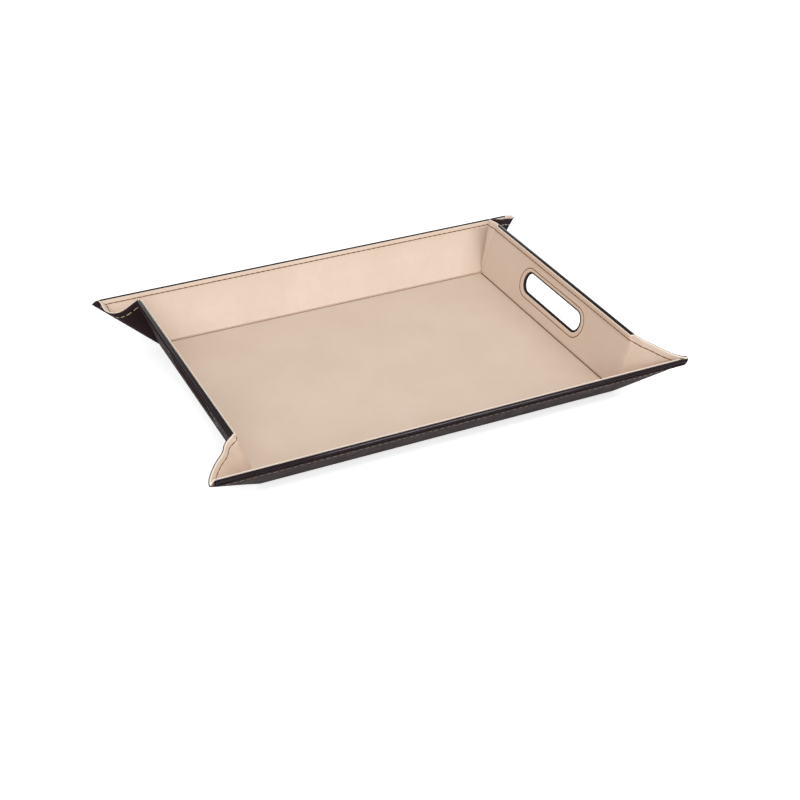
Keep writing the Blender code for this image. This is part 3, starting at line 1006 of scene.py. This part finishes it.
def short_height(x, y):
    """Relief of a short side, with a round nose past the crease beside the gusset."""
    past = abs(x) - HALF_WIDTH
    half = crease_half(y)
    if past > TINY:
        return half * math.sqrt(max(0.0, NOSE_FIT ** 2 - (past / PINCHED) ** 2))
    piped = short_piped(x)
    share = max(board_share(-past, crease_valley(y)), piped * rise_share(y))
    return half + (rim_height(y, piped) - half) * share


def short_pattern(rings):
    """The flat pattern of a short side, with its slot."""
    nose = PINCHED * NOSE_CUT
    half = HALF_WIDTH + nose
    sheet = flat_sheet("short_pattern", (-half, STRIP_EDGE), (half, SIDE_WIDTH))
    near = [HALF_WIDTH - place for place in end_rows()]
    near += [HALF_WIDTH + nose * share for share in NOSE_SHARES]
    cut(sheet, rows(RIM_ROWS) + columns(both_ways(near)))
    set_slot(sheet, rings)
    mark_rim(sheet, lambda x, y: y > SIDE_WIDTH - TINY,
             lambda x, y: short_piped(x) * rise_share(y))
    # Its marks are painted shade along the rim's seam and round the slot, and a painted
    # highlight on the lip.
    relief(sheet, short_height, lambda x, y: (x, rim_edge(y, short_piped(x), SHORT_LIP_EDGE)),
           lambda x, y: max(line_share(y - SEAM_LINE), line_share(slot_distance(x, y))),
           lambda x, y: lip_share(y))
    thicken(sheet)
    return sheet


def make_short_sides(finishes):
    """Both faces of the left and right sides; the dark one lines the slot."""
    patterns = {"cream": short_pattern(SLOT_RINGS),
                "chocolate": short_pattern(SLOT_RINGS + LINING_RINGS)}
    for label in ("left", "right"):
        leather_faces(label + "_side", patterns, finishes, side_place(label))
    discard(*patterns.values())


def tip_seam(x, y):
    """Distance of a point of a corner's leather past the seam that rounds the tip."""
    middle = SEAM_LINE - TIP_SEAM_RADIUS
    if min(x, y) > middle:
        return math.hypot(x - middle, y - middle) - TIP_SEAM_RADIUS
    return max(x, y) - SEAM_LINE


def tip_reach(angle):
    """How far the rounded tip reaches from the base's corner point in one direction."""
    return (SIDE_WIDTH - TIP_RADIUS) * (math.cos(angle) + math.sin(angle)) + TIP_RADIUS


def on_tip(x, y):
    """Whether a point lies on the rounded cut rim of a corner's leather."""
    return any(x * math.cos(angle) + y * math.sin(angle) > tip_reach(angle) - TINY
               for angle in TIP_DIRECTIONS)


def corner_height(x, y):
    """Relief of a corner's leather, from the tip fold's thin gusset to the long side."""
    side = (y - x) / math.sqrt(2)
    thin = PINCHED - STITCH_GROOVE * groove_share(SEAM_LINE + tip_seam(x, y))
    if side <= 0:
        beside = (1 - ease(y / GUSSET_RISE)) * ease(-side / END_VALLEY[1])
        return thin + (crease_half(x) - PINCHED) * beside
    share = min(board_share(side, END_VALLEY), board_share(y))
    return thin + (rim_height(y, long_piped(x)) - thin) * share


def corner_pattern():
    """The flat pattern of a gusset and the soft fold that joins it to its long side."""
    near, ahead = tip_border()
    sheet = flat_sheet("corner_pattern", (near.x, 0), (SIDE_WIDTH, SIDE_WIDTH))
    cut(sheet, [((near.x, near.y), (-ahead.x, -ahead.y)),
                ((0, 0), (-1, -TIP_LEAN))], trim=True)
    angles = [TIP_ANGLE + TIP_TURN * (2 * step / TURN_STEPS - 1)
              for step in range(TURN_STEPS + 1)]
    angles += [FAN_STEP * step for step in range(1, int(TIP_ANGLE / FAN_STEP))]
    cut(sheet, [((0, 0), (-math.sin(angle), math.cos(angle))) for angle in angles])
    cut(sheet, [((0, place * math.sqrt(2)), (-1, 1)) for place in end_rows()[1:]])
    cut(sheet, rows(valley_rows(VALLEYS["chocolate"])[1:]))
    rim = [*RIM_ROWS, *(SEAM_LINE + GROOVE_HALF * share for share in (-1, -0.5, 0.5, 1))]
    cut(sheet, rows(rim) + columns(rim))
    cut(sheet, columns([LONG_ROLL_END - HALF_LENGTH + LONG_CLOSE * step / CLOSE_STEPS
                        for step in range(CLOSE_STEPS + 1)]))
    cut(sheet, [((tip_reach(angle) * math.cos(angle), tip_reach(angle) * math.sin(angle)),
                 (math.cos(angle), math.sin(angle))) for angle in TIP_CUTS], trim=True)
    mark_rim(sheet, on_tip, lambda x, y: long_piped(x) * rise_share(y) if y > x else 0.0)

    def edge(x, y):
        return (x, rim_edge(y, long_piped(x), LONG_LIP_EDGE)) if y > x else (x, y)

    # Its marks are painted shade along the tip's seam and a painted highlight on the lip.
    relief(sheet, corner_height, edge, lambda x, y: line_share(tip_seam(x, y)),
           lambda x, y: lip_share(SEAM_LINE + tip_seam(x, y)))
    thicken(sheet)
    return sheet


def tip_bend(label, place):
    """The two bodies between which a corner's tip fold bends, with a point on each."""
    reach, offset = SIDE_WIDTH / 2, TIP_BEND_HALF / math.sqrt(2)
    return (label.split("_")[0] + "_side", label + "_gusset",
            place(reach - offset, reach + offset, 0), place(reach + offset, reach - offset, 0))


def make_gussets(finishes):
    """Both faces of the four corner gussets, with the soft folds at the tray's tips."""
    sheet = corner_pattern()
    for label, (across, up) in CORNERS.items():
        place = corner_place(label)
        leather_faces(label + "_gusset", dict.fromkeys(FACES, sheet), finishes, place,
                      across * up < 0, tip_bend(label, place))
    discard(sheet)


def roll_pattern(half):
    """The piping of one side in its own frame: a plump roll with a flat tail."""
    bpy.ops.mesh.primitive_cylinder_add(
        vertices=ROLL_SIDES, radius=ROLL_RADIUS, depth=2 * half, end_fill_type="NOTHING",
        rotation=(0, math.pi / 2, 0))
    roll = bpy.context.object
    bpy.ops.object.transform_apply(location=True, rotation=True, scale=True)
    for vertex in roll.data.vertices:
        across, up = vertex.co.y / ROLL_RADIUS, vertex.co.z / ROLL_RADIUS
        swell = (abs(across) ** ROLL_FLATNESS + abs(up) ** ROLL_FLATNESS) ** (1 / ROLL_FLATNESS)
        vertex.co.y /= swell
        vertex.co.z /= swell
    bpy.ops.object.mode_set(mode="EDIT")
    for turn in (1, -1):
        select_where(roll, "VERT", lambda vertex: vertex.co.x * turn > half - TINY)
        for step, scale in ROLL_END_RINGS:
            bpy.ops.mesh.extrude_region_move(
                TRANSFORM_OT_translate={"value": (turn * step, 0, 0)})
            bpy.ops.transform.resize(value=(1, scale, scale), center_override=(0, 0, 0))
        bpy.ops.mesh.edge_face_add()

    def faces_board(face):
        x, y, z = face.calc_center_median()
        return abs(x) < TINY and y < 0 and abs(z) < TAIL_HALF

    select_where(roll, "FACE", faces_board)
    bpy.ops.mesh.extrude_region_move(TRANSFORM_OT_translate={"value": (0, -ROLL_TAIL, 0)})
    bpy.ops.mesh.select_all(action="SELECT")
    bpy.ops.mesh.normals_make_consistent(inside=False)
    bpy.ops.object.mode_set(mode="OBJECT")
    bpy.ops.object.shade_smooth_by_angle(angle=SHARP_ANGLE)
    return roll


def make_rolls(finishes):
    """The piped roll along each side's rim."""
    patterns = (roll_pattern(LONG_ROLL_END), roll_pattern(SHORT_ROLL_END))
    for label, (turns, *_) in SIDES.items():
        matrix = side_matrix(label) @ Matrix.Translation((0, ROLL_CENTRE, 0))
        piece = copy_to(patterns[turns % 2], label + "_rim_roll", 1,
                        lambda x, y, z: matrix @ Vector((x, y, z)), finishes["roll"])
        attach(piece, label + "_side")
        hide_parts(label + "_rim_piping")
    discard(*patterns)


# Seams


def stitch_pattern():
    """One stitch: a swollen thread that dives into the leather at both ends."""
    bpy.ops.mesh.primitive_uv_sphere_add(segments=8, ring_count=6, radius=1,
                                         rotation=(0, math.pi / 2, 0))
    stitch = bpy.context.object
    bpy.ops.object.transform_apply(location=True, rotation=True, scale=True)
    size = sizes()
    for vertex in stitch.data.vertices:
        x, y, z = vertex.co
        radius = math.hypot(y, z)
        swell = radius ** THREAD_POWER / radius if radius > TINY else 0.0
        dive = STITCH_DIVE * x ** 4
        vertex.co = (x * size.stitch_length / 2, y * swell * size.thread_width / 2,
                     (z * swell - dive) * size.thread_height / 2)
    bpy.ops.object.shade_smooth()
    return stitch


def spaced(points, pitch):
    """Places of stitches along a line of points, each with its direction."""
    lengths = [math.dist(a, b) for a, b in zip(points, points[1:])]
    total = sum(lengths)
    count = max(1, round(total / pitch))
    places = []
    for number in range(count):
        target = total * (number + 0.5) / count
        for (ax, ay), (bx, by), length in zip(points, points[1:], lengths):
            if target <= length:
                share = target / length
                places.append((ax + share * (bx - ax), ay + share * (by - ay),
                               math.atan2(by - ay, bx - ax)))
                break
            target -= length
    return places


def sew(label, colour, finish, stitch, lines, height, place, mirrored=False):
    """Sew stitches on one face along flat lines, folded into their place with the leather."""
    drift = random.Random(SEED)
    name = f"{label}_stitches_on_{colour}"
    sink = sizes().thread_height * STITCH_SINK
    shape = bmesh.new()
    for line in lines:
        for x, y, angle in spaced(line, sizes().stitch_pitch):
            start = len(shape.verts)
            shape.from_mesh(stitch.data)
            shape.verts.ensure_lookup_table()
            turn = Matrix.Rotation(angle + drift.uniform(-STITCH_TURN, STITCH_TURN), 4, "Z")
            lift = height(x, y) + sink + drift.uniform(-1, 1) * STITCH_LIFT
            bmesh.ops.transform(shape, matrix=Matrix.Translation((x, y, lift)) @ turn,
                                verts=shape.verts[start:])
    mesh = bpy.data.meshes.new(name)
    shape.to_mesh(mesh)
    shape.free()
    seam = bpy.data.objects.new(name, mesh)
    bpy.context.scene.collection.objects.link(seam)
    piece = copy_to(seam, name, FACES[colour], place, finish, mirrored)
    piece.data.shade_smooth()
    discard(seam)
    return piece


def make_stitching():
    """All the seams: pale thread on the dark face and brown thread on the pale one."""
    tones = colours()
    threads = {"cream": thread("brown_thread_finish", tones.brown_thread, dark=0.55),
               "chocolate": thread("cream_thread_finish", tones.cream_thread, dark=0.6)}
    stitch = stitch_pattern()
    border, ahead = tip_border()
    tip_end = border.x + (SEAM_LINE - border.y) * -ahead.y / ahead.x
    long_end = HALF_LENGTH + tip_end
    long_line = [(-long_end, SEAM_LINE), (long_end, SEAM_LINE)]
    short_line = [(-HALF_WIDTH, SEAM_LINE), (HALF_WIDTH, SEAM_LINE)]
    slot_line = slot_ring(1.0)
    slot_line.append(slot_line[0])
    middle = SEAM_LINE - TIP_SEAM_RADIUS
    bend = [(middle + TIP_SEAM_RADIUS * math.sin(angle),
             middle + TIP_SEAM_RADIUS * math.cos(angle))
            for angle in TIP_DIRECTIONS]
    tip_line = [(tip_end, SEAM_LINE), *bend, (SEAM_LINE, 0)]
    for colour, finish in threads.items():
        tools = (colour, finish, stitch)
        x, y = HALF_LENGTH - BASE_SEAMS[colour], HALF_WIDTH - BASE_SEAMS[colour]
        corners = [(-x, -y), (x, -y), (x, y), (-x, y), (-x, -y)]
        piece = sew("base", *tools, list(zip(corners, corners[1:])), lambda x, y: PINCHED,
                    base_place)
        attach(piece, "base")
        for label in ("front", "back"):
            piece = sew(label + "_rim", *tools, [long_line], lambda x, y: SEAM_FLOOR,
                        side_place(label))
            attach(piece, label + "_side")
        for label in ("left", "right"):
            piece = sew(label + "_rim", *tools, [short_line], short_height, side_place(label))
            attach(piece, label + "_side")
            piece = sew(label + "_slot", *tools, [slot_line],
                        lambda x, y: CREST + SLOT_SEAM_DIP, side_place(label))
            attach(piece, label + "_side")
        for label, (across, up) in CORNERS.items():
            place = corner_place(label)
            piece = sew(label + "_tip", *tools, [tip_line], corner_height, place,
                        across * up < 0)
            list(tip_bend(label, place))
            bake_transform(piece)
    discard(stitch)


def finish_hidden_parts():
    """Materials for the boards and the piping cores, which keep their frame meshes."""
    kinds = {"board": (greyboard(), "greyboard"),
             "core": (core_plastic(), "piping_core")}
    for name, node in frame["nodes"].items():
        kind = name.split("_")[-1]
        if kind in kinds:
            finish, slot = kinds[kind]
            node.data.materials.clear()
            node.data.materials.append(finish)


# Floor, world, lamps and camera


def add_lamp(name, place, target, size, power):
    """A soft lamp of daylight white, wide and high as its size says, that faces a point."""
    data = bpy.data.lights.new(name, "AREA")
    data.color = DAYLIGHT
    data.shape = "RECTANGLE"
    data.size, data.size_y = size
    data.energy = power
    lamp = bpy.data.objects.new(name, data)
    lamp.location = place
    lamp.rotation_euler = (Vector(target) - Vector(place)).to_track_quat("-Z", "Y").to_euler()
    bpy.context.scene.collection.objects.link(lamp)


def make_floor():
    """A wide white floor, a hair under the tray."""
    bpy.ops.mesh.primitive_plane_add(size=FLOOR_SIZE, location=(0, 0, -FLOOR_DROP))
    floor = bpy.context.object
    floor.name = "studio_floor"
    floor.data.materials.append(backdrop())


def make_world():
    """Even white light, and white where the camera looks past the floor."""
    world = bpy.context.scene.world or bpy.data.worlds.new("studio")
    bpy.context.scene.world = world
    world.use_nodes = True
    kit = Graph(world.node_tree)
    rays = kit.node("ShaderNodeLightPath").outputs
    seen = kit.combine("MAXIMUM", rays["Is Glossy Ray"], rays["Is Transmission Ray"])
    seen = kit.combine("MAXIMUM", rays["Is Camera Ray"], seen)
    strength = kit.node("ShaderNodeMapRange", {
        "Value": seen, "To Min": WORLD_LIGHT, "To Max": 1.0}).outputs["Result"]
    background = kit.node("ShaderNodeBackground", {"Color": WHITE, "Strength": strength})
    kit.node("ShaderNodeOutputWorld", {"Surface": background.outputs[0]})


def make_camera():
    """The camera at the photograph's viewing angle."""
    ahead = CAMERA_AHEAD.normalized()
    up = (CAMERA_UP - ahead * CAMERA_UP.dot(ahead)).normalized()
    right = ahead.cross(up)
    data = bpy.data.cameras.new("camera")
    data.lens = CAMERA_LENS
    data.sensor_width = CAMERA_SENSOR
    data.sensor_fit = "HORIZONTAL"
    data.clip_start = CAMERA_NEAR
    camera = bpy.data.objects.new("camera", data)
    turn = Matrix((right, up, -ahead)).transposed().to_4x4()
    camera.matrix_world = Matrix.Translation(CAMERA_PLACE) @ turn
    bpy.context.scene.collection.objects.link(camera)
    bpy.context.scene.camera = camera


# Operators, one for each group of pieces


class TRAY_OT_base(bpy.types.Operator):
    """Add both leather faces of the base and the strips over its four folds"""

    bl_idname = "tray.base"
    bl_label = "Base leather"

    def execute(self, context):
        finishes = leather_finishes()
        make_base(finishes)
        make_fold_strips(finishes)
        return {"FINISHED"}


class TRAY_OT_long_sides(bpy.types.Operator):
    """Add both leather faces of the front and back sides"""

    bl_idname = "tray.long_sides"
    bl_label = "Long sides"

    def execute(self, context):
        make_long_sides(leather_finishes())
        return {"FINISHED"}


class TRAY_OT_short_sides(bpy.types.Operator):
    """Add both leather faces of the left and right sides, with their hand slots"""

    bl_idname = "tray.short_sides"
    bl_label = "Short sides"

    def execute(self, context):
        make_short_sides(leather_finishes())
        return {"FINISHED"}


class TRAY_OT_gussets(bpy.types.Operator):
    """Add both leather faces of the four corner gussets"""

    bl_idname = "tray.gussets"
    bl_label = "Corner gussets"

    def execute(self, context):
        make_gussets(leather_finishes())
        return {"FINISHED"}


class TRAY_OT_rolls(bpy.types.Operator):
    """Add the piped roll along the rim of each side"""

    bl_idname = "tray.rolls"
    bl_label = "Rim rolls"

    def execute(self, context):
        make_rolls(leather_finishes())
        return {"FINISHED"}


class TRAY_OT_stitching(bpy.types.Operator):
    """Sew the rims, the base and the hand slots on both faces"""

    bl_idname = "tray.stitching"
    bl_label = "Stitching"

    def execute(self, context):
        make_stitching()
        return {"FINISHED"}


class TRAY_OT_hidden_parts(bpy.types.Operator):
    """Give the boards and the piping cores inside the leather their materials"""

    bl_idname = "tray.hidden_parts"
    bl_label = "Boards and cores"

    def execute(self, context):
        finish_hidden_parts()
        return {"FINISHED"}


class TRAY_OT_stage(bpy.types.Operator):
    """Add the white floor, the soft lamps and the camera"""

    bl_idname = "tray.stage"
    bl_label = "Stage"

    def execute(self, context):
        make_floor()
        make_world()
        for name, settings in LAMPS.items():
            add_lamp(name, *settings)
        make_camera()
        context.scene.view_settings.view_transform = "Standard"
        return {"FINISHED"}


class TRAY_PT_panel(bpy.types.Panel):
    """Lists the tray's pieces in the order in which they are made"""

    bl_idname = "TRAY_PT_panel"
    bl_label = "Serving tray"
    bl_space_type = "VIEW_3D"
    bl_region_type = "UI"
    bl_category = "Tray"

    def draw(self, context):
        for operator in OPERATORS:
            self.layout.operator(operator.bl_idname)
        for group in (context.scene.tray_colours, context.scene.tray_sizes):
            for name in group.__annotations__:
                self.layout.prop(group, name)


OPERATORS = (TRAY_OT_base, TRAY_OT_long_sides, TRAY_OT_short_sides, TRAY_OT_gussets,
             TRAY_OT_rolls, TRAY_OT_stitching, TRAY_OT_hidden_parts, TRAY_OT_stage)
CLASSES = (TrayColours, TraySizes, *OPERATORS, TRAY_PT_panel)


def register():
    for item in CLASSES:
        bpy.utils.register_class(item)
    bpy.types.Scene.tray_colours = bpy.props.PointerProperty(type=TrayColours)
    bpy.types.Scene.tray_sizes = bpy.props.PointerProperty(type=TraySizes)


def unregister():
    del bpy.types.Scene.tray_sizes
    del bpy.types.Scene.tray_colours
    for item in reversed(CLASSES):
        bpy.utils.unregister_class(item)


def main():
    """Build every piece in order."""
    register()
    for operator in OPERATORS:
        group, name = operator.bl_idname.split(".")
        getattr(getattr(bpy.ops, group), name)()


if __name__ == "__main__":
    main()
